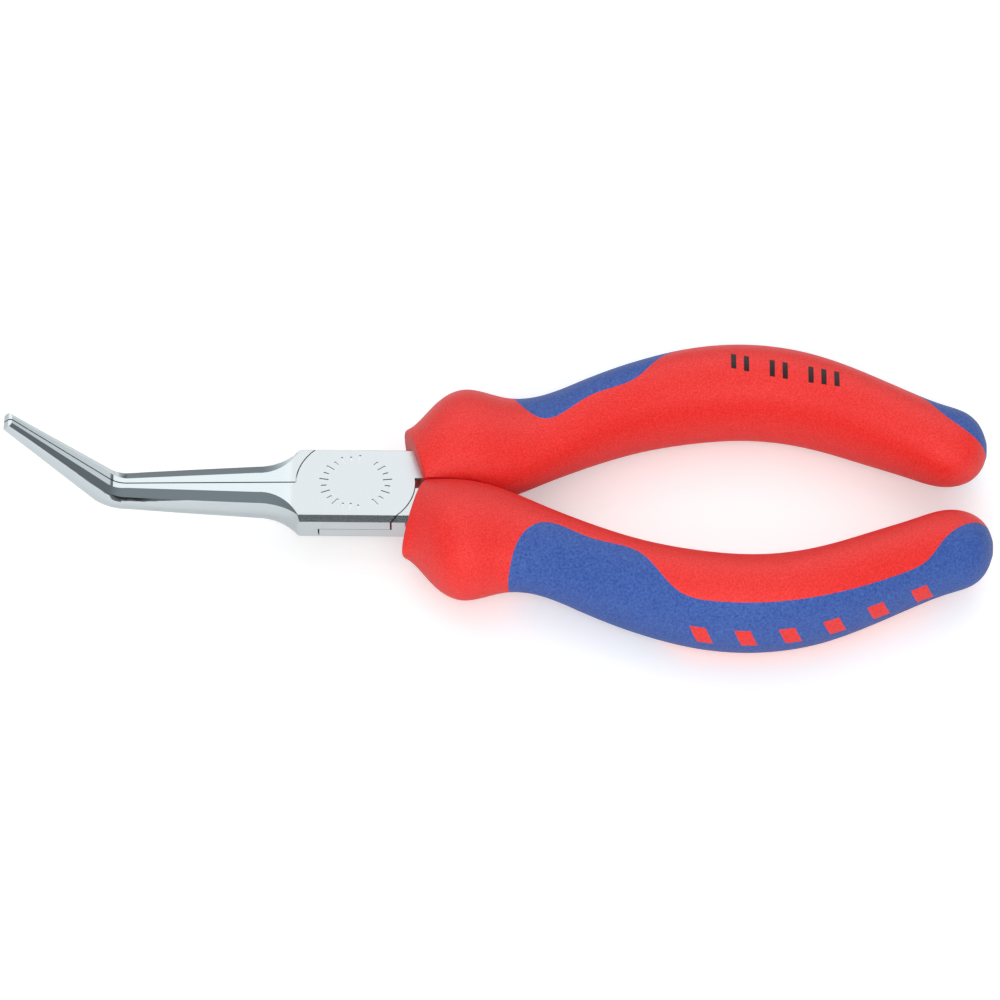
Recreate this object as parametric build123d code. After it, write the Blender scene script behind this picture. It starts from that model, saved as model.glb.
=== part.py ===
from build123d import *
from math import cos, radians, sin, sqrt, tan
import os

# Bent needle nose pliers. X runs along the tool: the jaws point to -X and the handles to +X.
# Y is the way that the handles spread. Z is square to the flat faces of the joint, and the
# tip bends up towards +Z. The origin is where the pivot's axis meets the joint's back face.

# ---- Joint (mm) ----
head_width = 15.5
head_thickness = 5.2
head_chamfer = 0.85
joint_radius = 9.6
pocket_clearance = 0.18
lap_gap = 0.06
neck_gap = 2.2

# ---- Pivot rivet ----
rivet_radius = 2.9
rivet_head_radius = 3.7
rivet_head_depth = 0.9
rivet_clearance = 0.03

# ---- Ticks stamped round the pivot, on the front face ----
stamp_radius = 5.2
stamp_length = 1.5
stamp_width = 0.32
stamp_depth = 0.12
stamp_arcs = [(84, 276, 14), (-52, 52, 8)]

# ---- Jaws ----
jaw_gap = 0.22
jaw_length = 39.5
tip_length = 23.4
bend_angle = 46.0
bend_radius = 5.6
jaw_root_x = -joint_radius - 6.4
shoulder_radius = 8.5
shoulder_reach = 0.92
bend_half_thickness = 1.95
tip_half_thickness = 0.95
tip_bevel = 0.4

# Half width and half depth of the sections across both jaws, at the root, the bend and the
# tip: the ovals that round the sides, and the roofs whose slopes are the ground facets.
OVAL_SIZES = ((4.25, 4.65), (3.15, 2.55), (1.45, 1.25))
ROOF_SIZES = ((6.0, 3.12), (4.4, 2.31), (2.0, 1.11))
facet_slope = 18.0

# ---- Teeth across the gripping faces ----
tooth_pitch = 1.0
tooth_depth = 0.2
teeth_length = 15.0
teeth_reach = 0.72

# ---- Tangs inside the grips ----
tang_root_width = 6.6
tang_end_width = 4.4
tang_root_thickness = 4.4
tang_end_thickness = 3.2
tang_reach = 0.78

# ---- Grips ----
grip_length = 94.6
mouth_gap = 1.5
mouth_set_back = 2.8
mouth_rounding = 0.6
collar_half_width = 10.4
collar_half_thickness = 8.75
palm_half_width = 7.6
palm_half_thickness = 8.5
grip_centre_y = 9.8
grip_bow = 12.8
grip_gap = 0.5
grip_front_x = joint_radius + mouth_gap - mouth_set_back
clear_of_grips = 60.0

# ---- Pads let into the grips ----
pad_thickness = 1.6
pad_flank = 5.3
pad_lobe = -0.5

# ---- Bars of the grip body that show through windows in each pad ----
bar_count = 6
bar_width = 2.6
bar_height = 3.6
bar_slant = 20.0
bar_start = 0.50
bar_step = 0.075

split_z = head_thickness / 2

# Stations along a grip, from its mouth to its tail: share of the length, share of the bow,
# and half width and half thickness as shares of the collar's or the palm's.
COLLAR_STATIONS = [
    (-0.075, -0.57, 0.58, 0.22),
    (-0.015, -0.36, 0.73, 0.52),
    (0.044, -0.14, 0.88, 0.83),
    (0.096, 0.00, 1.00, 1.00),
    (0.165, 0.01, 0.88, 0.83),
]
PALM_STATIONS = [
    (0.225, 0.14, 1.08, 0.73),
    (0.30, 0.42, 1.00, 0.83),
    (0.40, 0.75, 0.97, 0.94),
    (0.50, 0.95, 0.98, 1.00),
    (0.60, 1.00, 0.97, 1.01),
    (0.70, 0.86, 0.97, 0.99),
    (0.79, 0.58, 0.96, 0.93),
    (0.87, 0.29, 0.95, 0.82),
    (0.926, 0.12, 0.93, 0.74),
]

# The tail's dome: share of the bow that it ends at, and the turns (degrees) of its sections.
TAIL_BOW = 0.06
TAIL_TURNS = (34, 62, 79)

# Edge of a pad on the grip's plan: share of the length, and reach out from the centre line.
PAD_EDGE = [
    (0.165, 12.0),
    (0.181, 6.6),
    (0.199, 2.6),
    (0.228, pad_lobe),
    (0.310, pad_lobe),
    (0.392, pad_lobe),
    (0.425, 2.2),
    (0.462, pad_flank - 0.5),
    (0.520, pad_flank),
    (0.680, pad_flank),
    (0.840, pad_flank),
    (0.885, pad_flank - 0.9),
    (0.913, 1.9),
    (0.945, pad_lobe + 0.2),
    (1.080, pad_lobe),
]


def spin_about_x(shape):
    """Turns a shape half a turn about the tool's long axis, through the joint's middle."""
    return shape.rotate(Axis((0, 0, split_z), (1, 0, 0)), 180)


# ---- Jaws ------------------------------------------------------------------------------

def bend_point():
    """Where the straight part's centre line meets the tip's."""
    return Vector(-jaw_length, 0, split_z)


def tip_direction():
    """The way that the tip points."""
    angle = radians(bend_angle)
    return Vector(-cos(angle), 0, sin(angle))


def side_outline():
    """Outline of the jaws seen from the side, which cuts their flat top and bottom."""
    corner = bend_point()
    along = tip_direction()
    square = Vector(along.Z, 0, -along.X)
    lean = tan(radians(bend_angle) / 2)
    end = corner + along * tip_length
    top = [
        Vector(0, 0, head_thickness),
        Vector(-joint_radius, 0, head_thickness),
        corner + Vector(bend_half_thickness * lean, 0, bend_half_thickness),
        end + square * tip_half_thickness,
    ]
    bottom = [
        end - square * tip_half_thickness,
        corner - Vector(bend_half_thickness * lean, 0, bend_half_thickness),
        Vector(-joint_radius, 0, 0),
        Vector(0, 0, 0),
    ]
    outline = Face(Wire.make_polygon(top + bottom, close=True))
    inner = outline.vertices().sort_by_distance(top[2])[0]
    outer = outline.vertices().sort_by_distance(bottom[1])[0]
    outline = outline.fillet_2d(bend_radius - bend_half_thickness, [inner])
    outer = outline.vertices().sort_by_distance(outer.center())[0]
    outline = outline.fillet_2d(bend_radius + bend_half_thickness, [outer])
    end_corners = outline.vertices().sort_by_distance(end)[:2]
    return outline.chamfer_2d(tip_bevel, tip_bevel, end_corners)


def oval(centre, along, half_width, half_depth):
    """An ellipse square to a direction in the XZ plane."""
    plane = Plane(origin=centre, x_dir=(0, 1, 0), z_dir=along)
    return plane * Ellipse(half_width, half_depth)


def roof(centre, along, half_width, half_depth):
    """A six-sided section square to a direction in the XZ plane, ridged at top and bottom."""
    plane = Plane(origin=centre, x_dir=(0, 1, 0), z_dir=along)
    eave = half_depth - half_width * tan(radians(facet_slope))
    corners = [
        (0, half_depth),
        (half_width, eave),
        (half_width, -eave),
        (0, -half_depth),
        (-half_width, -eave),
        (-half_width, eave),
        (0, half_depth),
    ]
    return plane * make_face(Polyline(*corners))


def jaw_rod(section, root_size, bend_size, tip_size):
    """A bar along both jaws, in four parts: shoulder, straight part, bend and tip."""
    back = Vector(-1, 0, 0)
    tip = tip_direction()
    setback = bend_radius * tan(radians(bend_angle) / 2)
    bend_start = bend_point() - back * setback
    bend_end = bend_point() + tip * setback
    end = bend_point() + tip * (tip_length + 1)
    root = Vector(jaw_root_x, 0, split_z)

    shoulder = []
    for step in (0.0, 0.27, 0.54, 0.74, 0.89, 1.0):
        run = step * shoulder_reach * shoulder_radius
        flare = shoulder_radius - sqrt(shoulder_radius**2 - run**2)
        half_width, half_depth = root_size
        centre = root - back * run
        shoulder.append(section(centre, back, half_width + flare, half_depth + flare / 2))
    straight = [section(root, back, *root_size), section(bend_start, back, *bend_size)]
    turn = Axis(bend_start + Vector(0, 0, bend_radius), (0, 1, 0))
    bend = revolve(straight[1], turn, bend_angle)
    narrow = [section(bend_end, tip, *bend_size), section(end, tip, *tip_size)]
    return loft(shoulder), loft(straight, ruled=True), bend, loft(narrow, ruled=True)


def head_bar(start_x, end_x):
    """The flat-sided bar that bounds the joint, with its four long edges chamfered."""
    length = end_x - start_x
    bar = Pos((start_x + end_x) / 2, 0, split_z) * Box(length, head_width, head_thickness)
    return chamfer(bar.edges().filter_by(Axis.X), head_chamfer)


def tooth_cutters():
    """Prisms that cut the V grooves across both gripping faces, along the bend and the tip."""
    half = tooth_pitch * 0.42
    notch = Polyline((-half, 0), (0, tooth_depth), (half, 0), (0, -tooth_depth), (-half, 0))
    back = Vector(-1, 0, 0)
    tip = tip_direction()
    straight_count = int(teeth_length / tooth_pitch)
    tip_count = int((tip_length - bend_radius) / tooth_pitch)
    places = []
    for index in range(straight_count):
        away = bend_radius + index * tooth_pitch
        places.append((bend_point() - back * away, back, bend_half_thickness))
    for index in range(1, tip_count):
        away = bend_radius / 2 + index * tooth_pitch
        thinner = (bend_half_thickness - tip_half_thickness) * away / tip_length
        places.append((bend_point() + tip * away, tip, bend_half_thickness - thinner))
    cutters = []
    for centre, along, half_thickness in places:
        square = Vector(along.Z, 0, -along.X)
        side = Plane(origin=centre, x_dir=along, z_dir=square) * make_face(notch)
        cutters.append(extrude(side, half_thickness * teeth_reach, both=True))
    return cutters


def jaw_pair():
    """Both jaws in one piece, before they are split."""
    slab = extrude(side_outline(), head_width, both=True)
    parts = []
    for rounded, faceted in zip(jaw_rod(oval, *OVAL_SIZES), jaw_rod(roof, *ROOF_SIZES)):
        parts.append(rounded & faceted & slab)
    shoulder, straight, bend, narrow = parts
    shoulder = shoulder & head_bar(jaw_root_x, 0)
    return shoulder + straight + bend + narrow


def jaw(side):
    """One jaw: the half of the pair on that side of the split, with its teeth."""
    reach = jaw_length + tip_length
    half = Pos(-reach / 2, side * (reach + jaw_gap) / 2, 0) * Box(reach, reach, 4 * reach)
    piece = jaw_pair() & half
    for cutter in tooth_cutters():
        piece -= cutter.moved(Location((0, side * jaw_gap / 2, 0)))
    return piece


# ---- Grips -----------------------------------------------------------------------------

def grip_x(share):
    """Place along the tool at a share of the grip's length."""
    return grip_front_x + share * grip_length


def grip_sections(inset):
    """Ovals across a grip, a set depth under its surface, closing to a small flat at the tail."""
    sizes = [(share, bow, wide * collar_half_width, thick * collar_half_thickness)
             for share, bow, wide, thick in COLLAR_STATIONS]
    sizes += [(share, bow, wide * palm_half_width, thick * palm_half_thickness)
              for share, bow, wide, thick in PALM_STATIONS]
    rows = [(grip_x(share), bow, wide - inset, thick - inset) for share, bow, wide, thick in sizes]
    dome_x, dome_bow, dome_wide, dome_thick = rows[-1]
    tail_x = grip_x(1.0) - inset
    for turn in TAIL_TURNS:
        rise = sin(radians(turn))
        shrink = cos(radians(turn))
        bow = dome_bow + (TAIL_BOW - dome_bow) * rise
        x = dome_x + (tail_x - dome_x) * rise
        rows.append((x, bow, dome_wide * shrink, dome_thick * shrink))
    sections = []
    for x, bow, wide, thick in rows:
        centre = (x, grip_centre_y + bow * grip_bow, split_z)
        plane = Plane(origin=centre, x_dir=(0, 1, 0), z_dir=(1, 0, 0))
        sections.append(plane * Ellipse(wide, thick))
    return sections


def mouth_wedge():
    """Everything behind the two slanted end faces of the grips, on the +Y side."""
    far_x = grip_length + clear_of_grips
    far_y = clear_of_grips
    near_x = grip_front_x + mouth_set_back
    slope = mouth_set_back / grip_centre_y
    outline = Polyline(
        (near_x, grip_gap / 2),
        (near_x - slope * far_y, far_y),
        (far_x, far_y),
        (far_x, grip_gap / 2),
        (near_x, grip_gap / 2),
    )
    return extrude(make_face(outline), clear_of_grips, both=True)


def grip_blank():
    """Whole outer shape of the +Y grip, with the rim of its mouth rounded."""
    blank = loft(grip_sections(0)) & mouth_wedge()
    mouth = blank.faces().sort_by(Axis.X)[0]
    rim = mouth.edges().sort_by(Axis.Y)[1:]
    return fillet(rim, mouth_rounding)


def pad_outline():
    """Prism over the part of the +Y grip that its pad covers, seen in plan."""
    edge = []
    for share, reach in PAD_EDGE:
        edge.append((grip_x(share), grip_line_y(share) + reach))
    first = edge[0]
    last = edge[-1]
    far_y = clear_of_grips
    border = Spline(edge) + Polyline(last, (last[0], far_y), (first[0], far_y), first)
    return extrude(make_face(border), clear_of_grips, both=True)


def grip_line_y(share):
    """Y of the grip's centre line at a share of its length."""
    stations = COLLAR_STATIONS + PALM_STATIONS + [(1.0, TAIL_BOW, 0, 0), (1.2, TAIL_BOW, 0, 0)]
    for (s0, b0, _, _), (s1, b1, _, _) in zip(stations, stations[1:]):
        if s0 <= share <= s1:
            return grip_centre_y + grip_bow * (b0 + (b1 - b0) * (share - s0) / (s1 - s0))
    return grip_centre_y


def pad_windows():
    """Slanted windows through the +Y pad, on the middle of its outer flank."""
    windows = None
    for index in range(bar_count):
        share = bar_start + index * bar_step
        x = grip_x(share)
        y = grip_line_y(share) + palm_half_width
        slant = tan(radians(bar_slant)) * bar_height / 2
        outline = Polyline(
            (x - bar_width / 2 - slant, -bar_height / 2),
            (x + bar_width / 2 - slant, -bar_height / 2),
            (x + bar_width / 2 + slant, bar_height / 2),
            (x - bar_width / 2 + slant, bar_height / 2),
            (x - bar_width / 2 - slant, -bar_height / 2),
        )
        plane = Plane(origin=(0, y, split_z), x_dir=(1, 0, 0), z_dir=(0, -1, 0))
        window = extrude(plane * make_face(outline), palm_half_width, both=True)
        windows = window if windows is None else windows + window
    return windows


def grip_pad():
    """The +Y pad: a shell let into the outer side and the tail of the grip."""
    core = loft(grip_sections(pad_thickness))
    return grip_blank() & pad_outline() - core - pad_windows()


# ---- Tang ------------------------------------------------------------------------------

def tang():
    """The flat tail of the +Y lever, from the joint's neck into the grip."""
    start = Vector(joint_radius - 1, neck_gap / 2 + tang_root_width / 2, split_z)
    stations = [(start, 0.0), (start + Vector(3, 0.3, 0), 0.05)]
    for share, grown in ((0.17, 0.15), (0.225, 0.25), (0.32, 0.4), (0.42, 0.55), (0.52, 0.7),
                         (0.62, 0.82), (0.70, 0.92), (tang_reach, 1.0)):
        stations.append((Vector(grip_x(share), grip_line_y(share), split_z), grown))
    sections = []
    for centre, grown in stations:
        width = tang_root_width + (tang_end_width - tang_root_width) * grown
        thick = tang_root_thickness + (tang_end_thickness - tang_root_thickness) * grown
        plane = Plane(origin=centre, x_dir=(0, 1, 0), z_dir=(1, 0, 0))
        sections.append(plane * Rectangle(width, thick))
    return loft(sections)


# ---- Levers ----------------------------------------------------------------------------

def joint_half():
    """Joint of the lever with the near jaw and the +Y handle: its upper half is the disc."""
    span = joint_radius + 3
    bar = head_bar(-span, span)
    root_x = jaw_root_x + shoulder_reach * shoulder_radius
    root = Pos(root_x / 2, -(span + jaw_gap) / 2, 0) * Box(-root_x, span, 4 * head_thickness)
    above = Pos(0, 0, head_thickness) * Box(4 * span, 4 * span, head_thickness - lap_gap)
    disc = Pos(0, 0, split_z) * Cylinder(joint_radius, 2 * head_thickness)
    neck = Pos(span, span + neck_gap / 2, 0) * Box(2 * span, 2 * span, 4 * head_thickness)
    return (bar & disc & above) + (bar & neck) + (bar & root)


def disc_pocket():
    """Room for the other lever's disc, in the lower half."""
    depth = split_z + lap_gap / 2
    radius = joint_radius + pocket_clearance
    return Pos(0, 0, depth / 2 - 5) * Cylinder(radius, depth + 10)


def rivet_shape(extra):
    """The rivet with its two countersunk heads, or the hole for it with a clearance."""
    shank = Pos(0, 0, split_z) * Cylinder(rivet_radius + extra, head_thickness)
    grow = rivet_head_radius - rivet_radius
    head = Cone(rivet_radius + extra, rivet_radius + grow + extra, rivet_head_depth)
    top = Pos(0, 0, head_thickness - rivet_head_depth / 2) * head
    return shank + top + spin_about_x(top)


def stamped_ticks():
    """Plain ticks in two arcs round the pivot, long and short by turns."""
    ticks = []
    for start, end, count in stamp_arcs:
        for index in range(count):
            angle = start + (end - start) * index / (count - 1)
            length = stamp_length if index % 2 == 0 else stamp_length * 0.6
            tick = Pos(stamp_radius, 0, head_thickness) * Box(length, stamp_width, 2 * stamp_depth)
            ticks.append(tick.rotate(Axis.Z, angle))
    return ticks


def lever_front():
    """Near jaw, upper half of the joint and the +Y tang, in one forging."""
    root = jaw(-1)
    body = (root + joint_half() + tang()) - disc_pocket()
    return body - rivet_shape(0) - stamped_ticks()


def lever_rear():
    """Far jaw, lower half of the joint and the -Y tang: the same forging with its jaw turned."""
    joint = spin_about_x(joint_half() + tang())
    body = (jaw(1) + joint) - spin_about_x(disc_pocket())
    return body - rivet_shape(rivet_clearance)


def main():
    """Builds every piece and writes one STEP file for each."""
    front = lever_front()
    rear = lever_rear()
    blank = grip_blank()
    pad = grip_pad()
    near_blank = spin_about_x(blank)
    near_pad = spin_about_x(pad)
    pieces = {
        "front_lever": front,
        "rear_lever": rear,
        "pivot_rivet": rivet_shape(0),
        "far_grip_body": blank - pad - front,
        "far_grip_pad": pad,
        "near_grip_body": near_blank - near_pad - rear,
        "near_grip_pad": near_pad,
    }
    os.makedirs("parts", exist_ok=True)
    for name, piece in pieces.items():
        piece.label = name
        export_step(piece, f"parts/{name}.step")


main()
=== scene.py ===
import math

import bmesh
import bpy
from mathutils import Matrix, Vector


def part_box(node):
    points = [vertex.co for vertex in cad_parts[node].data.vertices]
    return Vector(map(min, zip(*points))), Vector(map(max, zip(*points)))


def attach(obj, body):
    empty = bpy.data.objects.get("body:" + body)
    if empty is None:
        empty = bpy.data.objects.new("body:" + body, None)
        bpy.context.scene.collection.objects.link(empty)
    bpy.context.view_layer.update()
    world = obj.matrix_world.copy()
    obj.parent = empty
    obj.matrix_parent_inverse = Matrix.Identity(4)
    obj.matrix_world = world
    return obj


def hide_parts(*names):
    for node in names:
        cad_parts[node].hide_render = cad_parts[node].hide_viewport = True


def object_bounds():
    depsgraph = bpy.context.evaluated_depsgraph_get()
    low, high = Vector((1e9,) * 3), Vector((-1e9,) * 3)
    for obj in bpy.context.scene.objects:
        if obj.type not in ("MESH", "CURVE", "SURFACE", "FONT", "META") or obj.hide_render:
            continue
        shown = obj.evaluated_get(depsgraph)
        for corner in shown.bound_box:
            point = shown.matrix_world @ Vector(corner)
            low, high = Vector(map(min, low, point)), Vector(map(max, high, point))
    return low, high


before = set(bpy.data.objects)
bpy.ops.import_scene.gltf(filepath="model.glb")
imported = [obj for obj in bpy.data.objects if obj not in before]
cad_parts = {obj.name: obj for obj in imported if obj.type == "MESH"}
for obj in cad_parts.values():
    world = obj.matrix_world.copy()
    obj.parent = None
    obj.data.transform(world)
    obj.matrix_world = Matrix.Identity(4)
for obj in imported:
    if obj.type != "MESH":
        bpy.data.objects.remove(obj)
CAD_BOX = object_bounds()

MM = 0.001

# ---- Sizes and finishes ------------------------------------------------------------------

# The level half way between the joint's two flat faces.
JOINT_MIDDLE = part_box("pivot_rivet")[1].z / 2

# The view.
VIEW_ELEVATION = 49.0        # degrees above the joint's flat face being seen edge on
VIEW_ROLL = 0.5              # degrees
VIEW_DISTANCE = 950 * MM
VIEW_WIDTH = 162.1 * MM      # what the frame takes in at the tool
VIEW_CENTRE = Vector((23.4, -1.2, 0)) * MM
SENSOR_WIDTH = 36            # in the camera's own millimetres
NEAR_CLIP = 10 * MM

# The floor of white studio paper.
FLOOR_REACH = 3.0            # metres, from the tool to each side
FLOOR_DROP = 0.1 * MM        # how far it lies under the tool's lowest point
FLOOR_WHITE = "#EDEDED"
FLOOR_ROUGHNESS = 0.9
FLOOR_GLOW = 0.35            # lifts the paper to plain white where it is seen directly

# Each soft light: name, place and two sides in metres, watts, and whether the chrome mirrors it.
SOFT_LIGHTS = (
    ("back_softbox", (0.0, 0.74, 0.84), 2.4, 0.75, 5.4, True),
    ("front_strip", (0.0, -0.92, 0.64), 2.2, 0.2, 2.0, True),
    ("top_diffuser", (0.0, 0.1, 1.2), 1.2, 1.2, 4.0, False),
    ("front_diffuser", (0.0, -0.95, 0.7), 1.2, 1.2, 12.0, False),
)

# The room that the chrome mirrors: its tones from floor level at 0 to overhead at 1.
ROOM_TONES = ((0.0, "#FFFFFF"), (0.1, "#E8ECEE"), (0.24, "#6A7175"), (1.0, "#8A9296"))
# The front wall is dimmed by this share, from fully dim at the first Y to undimmed at the second.
WALL_DIMMING = 0.8
WALL_DIM_FULL = -0.55
WALL_DIM_NONE = -0.1

# How a CAD node's loose triangles are joined, and which of its edges stay crisp.
JOIN_DISTANCE = 0.002 * MM
SLIVER_LENGTH = 0.001 * MM
LEVER_CREASE = math.radians(12)
GRIP_CREASE = math.radians(28)

# Chrome: polished all over, but for the joint's ground faces.
POLISHED_TINT = "#D9E1E4"
POLISHED_ROUGHNESS = 0.07
GROUND_TINT = "#E6EAEC"
GROUND_ROUGHNESS = 0.36
GROUND_SKIN = 0.05 * MM      # the ground finish begins this far under a face
GROUND_SKIN_FULL = 0.01 * MM
GROUND_END_X = -15.5 * MM    # it fades out here, where the jaws bend up
GROUND_FULL_X = -9.5 * MM
GRIND_PITCH = 0.12 * MM      # the wheel's lines, about a tenth of a millimetre apart
GRIND_LENGTH = 1.5 * MM
GRIND_DEPTH = 0.004 * MM

# Plastics. A real moulded grain is near a tenth of a millimetre: both are drawn coarser, to show.
GRAIN_DETAIL = 3.0
INK = "#2A1A1C"

# The printed bars on the far grip: where their row starts, and its measures.
BARS_START = Vector((61.0, 22.1, 5.0)) * MM
BARS_PITCH = 2.1 * MM
BARS_WIDTH = 0.85 * MM
BARS_HEIGHT = 2.9 * MM
BARS_SLOPE = -0.2
BARS_COUNT = 9
BARS_GAPS = (2, 5)           # places in the row, counted from 0, that are left blank
HALF_PLACE = 0.5


# ---- Helpers -----------------------------------------------------------------------------

def srgb(code):
    """An sRGB hex colour as linear red, green, blue and a full alpha."""
    parts = [int(code[i:i + 2], 16) / 255 for i in (1, 3, 5)]
    linear = [c / 12.92 if c <= 0.04045 else ((c + 0.055) / 1.055) ** 2.4 for c in parts]
    return (*linear, 1.0)


def aim(obj, place, target):
    """Puts an object somewhere with its -Z side towards a target."""
    obj.location = place
    obj.rotation_euler = (Vector(target) - Vector(place)).to_track_quat("-Z", "Y").to_euler()


def finish_mesh(bm, name):
    """Turns a bmesh into an object at the origin, in the scene."""
    mesh = bpy.data.meshes.new(name)
    bm.to_mesh(mesh)
    bm.free()
    obj = bpy.data.objects.new(name, mesh)
    bpy.context.scene.collection.objects.link(obj)
    return obj


def add_node(tree, kind, inputs=None, **settings):
    """Adds a shader node with its settings, and sets or links its inputs.

    An input is given a value, a socket, or a node, which stands for its first output.
    """
    node = tree.nodes.new(kind)
    for key, value in settings.items():
        setattr(node, key, value)
    for socket, value in (inputs or {}).items():
        if isinstance(value, bpy.types.Node):
            value = value.outputs[0]
        if isinstance(value, bpy.types.NodeSocket):
            tree.links.new(value, node.inputs[socket])
        else:
            node.inputs[socket].default_value = value
    return node


def new_material(name):
    """An empty node material with its surface shader."""
    material = bpy.data.materials.new(name)
    material.use_nodes = True
    tree = material.node_tree
    return material, tree, tree.nodes["Principled BSDF"]


# ---- The view and the studio -------------------------------------------------------------

def add_camera():
    """The camera: square to the tool's length, looking down on the joint's face."""
    target = VIEW_CENTRE + Vector((0, 0, JOINT_MIDDLE))
    rise = math.radians(VIEW_ELEVATION)
    place = target + Vector((0, -math.cos(rise), math.sin(rise))) * VIEW_DISTANCE
    data = bpy.data.cameras.new("camera")
    data.sensor_width = SENSOR_WIDTH
    data.lens = data.sensor_width * VIEW_DISTANCE / VIEW_WIDTH
    data.clip_start = NEAR_CLIP
    camera = bpy.data.objects.new("camera", data)
    bpy.context.scene.collection.objects.link(camera)
    aim(camera, place, target)
    camera.rotation_euler.rotate_axis("Z", math.radians(VIEW_ROLL))
    bpy.context.scene.camera = camera
    return target


def add_soft_light(name, place, target, width, depth, power, mirrored):
    """A rectangular soft light aimed at the tool."""
    data = bpy.data.lights.new(name, "AREA")
    data.shape = "RECTANGLE"
    data.size = width
    data.size_y = depth
    data.energy = power
    light = bpy.data.objects.new(name, data)
    bpy.context.scene.collection.objects.link(light)
    aim(light, place, target)
    light.visible_glossy = mirrored


def studio_paper():
    """Matt white studio paper, which shows as plain white where it is seen directly."""
    material, tree, shader = new_material("studio_paper")
    shader.inputs["Base Color"].default_value = srgb(FLOOR_WHITE)
    shader.inputs["Roughness"].default_value = FLOOR_ROUGHNESS
    shader.inputs["Emission Color"].default_value = srgb("#FFFFFF")
    path = add_node(tree, "ShaderNodeLightPath")
    glow = add_node(tree, "ShaderNodeMath", {0: path.outputs["Is Camera Ray"], 1: FLOOR_GLOW},
                    operation="MULTIPLY")
    tree.links.new(glow.outputs["Value"], shader.inputs["Emission Strength"])
    return material


def add_floor():
    """The floor, just under the tool."""
    bm = bmesh.new()
    bmesh.ops.create_grid(bm, x_segments=1, y_segments=1, size=FLOOR_REACH)
    bmesh.ops.translate(bm, verts=bm.verts, vec=(0, 0, CAD_BOX[0][2] - FLOOR_DROP))
    floor = finish_mesh(bm, "floor")
    floor.data.materials.append(studio_paper())


def room():
    """A studio with a bright cove at floor level, and a dim wall at the front."""
    world = bpy.data.worlds.new("room")
    world.use_nodes = True
    tree = world.node_tree
    way = add_node(tree, "ShaderNodeTexCoord")
    axes = add_node(tree, "ShaderNodeSeparateXYZ", {"Vector": way.outputs["Generated"]})
    walls = add_node(tree, "ShaderNodeValToRGB", {"Fac": axes.outputs["Z"]})
    for height, _ in ROOM_TONES[1:-1]:
        walls.color_ramp.elements.new(height)
    for element, (_, code) in zip(walls.color_ramp.elements, ROOM_TONES):
        element.color = srgb(code)
    dim = add_node(tree, "ShaderNodeMapRange",
                   {"Value": axes.outputs["Y"], "From Min": WALL_DIM_FULL,
                    "From Max": WALL_DIM_NONE, "To Min": WALL_DIMMING, "To Max": 0.0},
                   interpolation_type="SMOOTHSTEP")
    strength = add_node(tree, "ShaderNodeMath", {0: 1.0, 1: dim}, operation="SUBTRACT")
    back = tree.nodes["Background"]
    tree.links.new(walls.outputs["Color"], back.inputs["Color"])
    tree.links.new(strength.outputs["Value"], back.inputs["Strength"])
    return world


def add_studio(target):
    """A pale floor under the tool, a grey room, and soft lights over it."""
    add_floor()
    for name, place, width, depth, power, mirrored in SOFT_LIGHTS:
        add_soft_light(name, place, target, width, depth, power, mirrored)
    bpy.context.scene.world = room()
    bpy.context.scene.view_settings.view_transform = "Standard"


# ---- Materials ---------------------------------------------------------------------------

def ground_faces(tree, axes):
    """1 on the joint's two ground faces and 0 elsewhere, fading out towards the jaws."""
    level = add_node(tree, "ShaderNodeMath", {0: axes.outputs["Z"], 1: JOINT_MIDDLE},
                     operation="SUBTRACT")
    height = add_node(tree, "ShaderNodeMath", {0: level}, operation="ABSOLUTE")
    face = add_node(tree, "ShaderNodeMapRange",
                    {"Value": height, "From Min": JOINT_MIDDLE - GROUND_SKIN,
                     "From Max": JOINT_MIDDLE - GROUND_SKIN_FULL})
    head = add_node(tree, "ShaderNodeMapRange",
                    {"Value": axes.outputs["X"], "From Min": GROUND_END_X,
                     "From Max": GROUND_FULL_X},
                    interpolation_type="SMOOTHSTEP")
    return add_node(tree, "ShaderNodeMath", {0: face, 1: head}, operation="MULTIPLY")


def chrome_steel():
    """Chrome-plated forged steel: mirror-like, but satin where the joint's faces are ground."""
    material, tree, shader = new_material("chrome_plated_forged_steel")
    shader.inputs["Metallic"].default_value = 1.0
    place = add_node(tree, "ShaderNodeTexCoord")
    axes = add_node(tree, "ShaderNodeSeparateXYZ", {"Vector": place.outputs["Object"]})
    ground = ground_faces(tree, axes)
    rough = add_node(tree, "ShaderNodeMapRange",
                     {"Value": ground, "To Min": POLISHED_ROUGHNESS, "To Max": GROUND_ROUGHNESS})
    tint = add_node(tree, "ShaderNodeMix",
                    {"Factor": ground, "A": srgb(POLISHED_TINT), "B": srgb(GROUND_TINT)},
                    data_type="RGBA")
    # The grinding wheel's lines run across the tool, in Y and Z.
    grit = add_node(tree, "ShaderNodeMapping",
                    {"Vector": place.outputs["Object"],
                     "Scale": (1 / GRIND_PITCH, 1 / GRIND_LENGTH, 1 / GRIND_LENGTH)})
    lines = add_node(tree, "ShaderNodeTexNoise", {"Vector": grit, "Scale": 1.0})
    scratch = add_node(tree, "ShaderNodeBump",
                       {"Height": lines.outputs["Fac"], "Strength": ground,
                        "Distance": GRIND_DEPTH})
    tree.links.new(tint.outputs["Result"], shader.inputs["Base Color"])
    tree.links.new(rough.outputs["Result"], shader.inputs["Roughness"])
    tree.links.new(scratch.outputs["Normal"], shader.inputs["Normal"])
    return material


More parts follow.
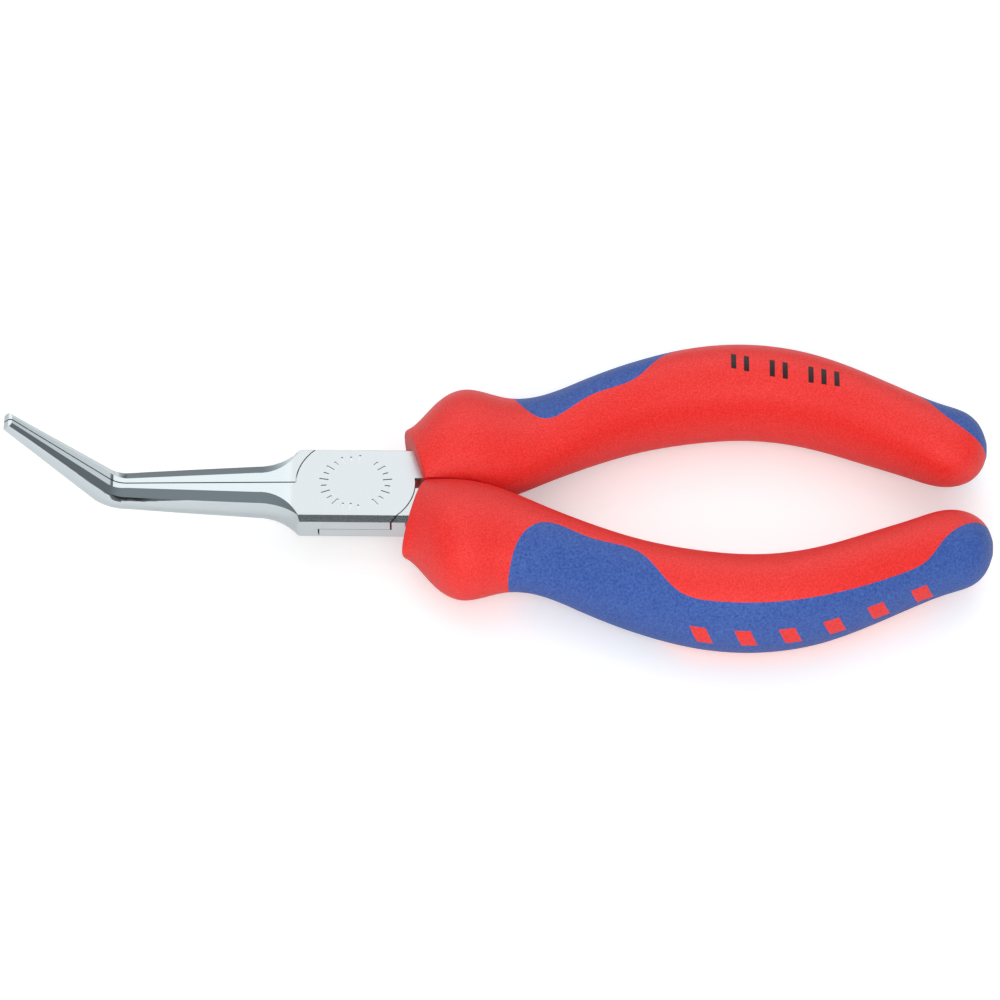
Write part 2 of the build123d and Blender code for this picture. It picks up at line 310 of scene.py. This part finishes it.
def grain_with_painted_shade(tree, shader, grain, depth, dark, light, spread):
    """Roughens a plastic with a moulded grain, and tones it from dark hollows to light crests:
    painted shade in the hollows and painted highlight on the crests.
    """
    place = add_node(tree, "ShaderNodeTexCoord")
    fine = add_node(tree, "ShaderNodeTexNoise",
                    {"Vector": place.outputs["Object"], "Scale": 1 / grain,
                     "Detail": GRAIN_DETAIL})
    level = add_node(tree, "ShaderNodeMapRange",
                     {"Value": fine.outputs["Fac"], "From Min": spread[0],
                      "From Max": spread[1]})
    # The colour follows the bump's height: painted shade in the grain's hollows, painted
    # highlight on its crests.
    painted_grain_shade = add_node(tree, "ShaderNodeMix",
                    {"Factor": level, "A": srgb(dark), "B": srgb(light)}, data_type="RGBA")
    bump = add_node(tree, "ShaderNodeBump", {"Height": fine.outputs["Fac"], "Distance": depth})
    tree.links.new(bump.outputs["Normal"], shader.inputs["Normal"])
    return painted_grain_shade.outputs["Result"]


def printed_bars(tree):
    """1 on the slanting row of printed bars on the far grip's upper side, and 0 off it."""
    place = add_node(tree, "ShaderNodeTexCoord")
    axes = add_node(tree, "ShaderNodeSeparateXYZ", {"Vector": place.outputs["Object"]})
    run = add_node(tree, "ShaderNodeMath", {0: axes.outputs["X"], 1: BARS_START.x},
                   operation="SUBTRACT")
    steps = add_node(tree, "ShaderNodeMath", {0: run, 1: BARS_PITCH}, operation="DIVIDE")
    index = add_node(tree, "ShaderNodeMath", {0: steps}, operation="FLOOR")
    within = add_node(tree, "ShaderNodeMath", {0: steps}, operation="FRACT")
    drop = add_node(tree, "ShaderNodeMath", {0: run, 1: BARS_SLOPE}, operation="MULTIPLY")
    line = add_node(tree, "ShaderNodeMath", {0: drop, 1: BARS_START.y}, operation="ADD")
    aside = add_node(tree, "ShaderNodeMath", {0: axes.outputs["Y"], 1: line},
                     operation="SUBTRACT")
    off = add_node(tree, "ShaderNodeMath", {0: aside}, operation="ABSOLUTE")
    tests = [(within, "LESS_THAN", BARS_WIDTH / BARS_PITCH),
             (run, "GREATER_THAN", 0.0),
             (index, "LESS_THAN", BARS_COUNT),
             (off, "LESS_THAN", BARS_HEIGHT / 2),
             (axes.outputs["Z"], "GREATER_THAN", BARS_START.z)]
    for gap in BARS_GAPS:
        past = add_node(tree, "ShaderNodeMath", {0: index, 1: gap}, operation="SUBTRACT")
        away = add_node(tree, "ShaderNodeMath", {0: past}, operation="ABSOLUTE")
        tests.append((away, "GREATER_THAN", HALF_PLACE))
    inked = 1.0
    for value, test, limit in tests:
        met = add_node(tree, "ShaderNodeMath", {0: value, 1: limit}, operation=test)
        inked = add_node(tree, "ShaderNodeMath", {0: inked, 1: met}, operation="MULTIPLY")
    return inked


def grip_polypropylene():
    """Moulded red polypropylene: satin, with a fine spark-eroded grain and black print; the
    grain's darker hollows are painted shade and its lighter crests painted highlight.
    """
    material, tree, shader = new_material("moulded_red_polypropylene")
    # The darker red is painted shade for the grain's hollows, and the lighter red is painted
    # highlight for its crests.
    red = grain_with_painted_shade(tree, shader, grain=0.28 * MM, depth=0.035 * MM,
                        dark="#E2241F", light="#F23A35", spread=(0.36, 0.66))
    ink = add_node(tree, "ShaderNodeMix",
                   {"Factor": printed_bars(tree), "A": red, "B": srgb(INK)}, data_type="RGBA")
    tree.links.new(ink.outputs["Result"], shader.inputs["Base Color"])
    shader.inputs["Roughness"].default_value = 0.46
    return material


def pad_elastomer():
    """Moulded blue elastomer: soft, with a coarser grain that sparkles a little; the sparkle is
    partly painted highlight on the grain's crests, with painted shade in its hollows.
    """
    material, tree, shader = new_material("moulded_blue_elastomer")
    # The darker blue is painted shade for the grain's hollows, and the lighter blue is painted
    # highlight for its crests.
    blue = grain_with_painted_shade(tree, shader, grain=0.36 * MM, depth=0.09 * MM,
                         dark="#2B4896", light="#456BB4", spread=(0.34, 0.74))
    tree.links.new(blue, shader.inputs["Base Color"])
    shader.inputs["Roughness"].default_value = 0.5
    return material


# ---- The tool ----------------------------------------------------------------------------

def joined_copy(node, name, crease):
    """A CAD node's shape as one joined mesh, smooth but for edges above a crease angle."""
    bm = bmesh.new()
    bm.from_mesh(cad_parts[node].data)
    bmesh.ops.remove_doubles(bm, verts=bm.verts, dist=JOIN_DISTANCE)
    bmesh.ops.dissolve_degenerate(bm, edges=bm.edges, dist=SLIVER_LENGTH)
    for face in bm.faces:
        face.smooth = True
    for edge in bm.edges:
        edge.smooth = len(edge.link_faces) == 2 and edge.calc_face_angle(0) < crease
    piece = finish_mesh(bm, name)
    even = piece.modifiers.new("even_shading", "WEIGHTED_NORMAL")
    even.keep_sharp = True
    return piece


def stands_for(piece, node, body, material):
    """A finished piece takes a CAD node's place, on its body and in its finish."""
    piece.data.materials.clear()
    piece.data.materials.append(material)
    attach(piece, body)
    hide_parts(node)


def make_levers():
    """Both forgings and the rivet, in chrome."""
    steel = chrome_steel()
    for node, body, slot in (("front_lever", "front", "chrome_steel"),
                             ("rear_lever", "rear", "chrome_steel"),
                             ("pivot_rivet", "front", "rivet_steel")):
        piece = joined_copy(node, node + "_chromed", LEVER_CREASE)
        stands_for(piece, node, body, steel)


def make_grips():
    """Both moulded grips, each a red body and a blue pad."""
    red = grip_polypropylene()
    blue = pad_elastomer()
    for place, body in (("far", "front"), ("near", "rear")):
        for part, slot, material in (("body", "red_grip", red), ("pad", "blue_pad", blue)):
            node = f"{place}_grip_{part}"
            piece = joined_copy(node, node + "_moulded", GRIP_CREASE)
            stands_for(piece, node, body, material)


add_studio(add_camera())
make_levers()
make_grips()
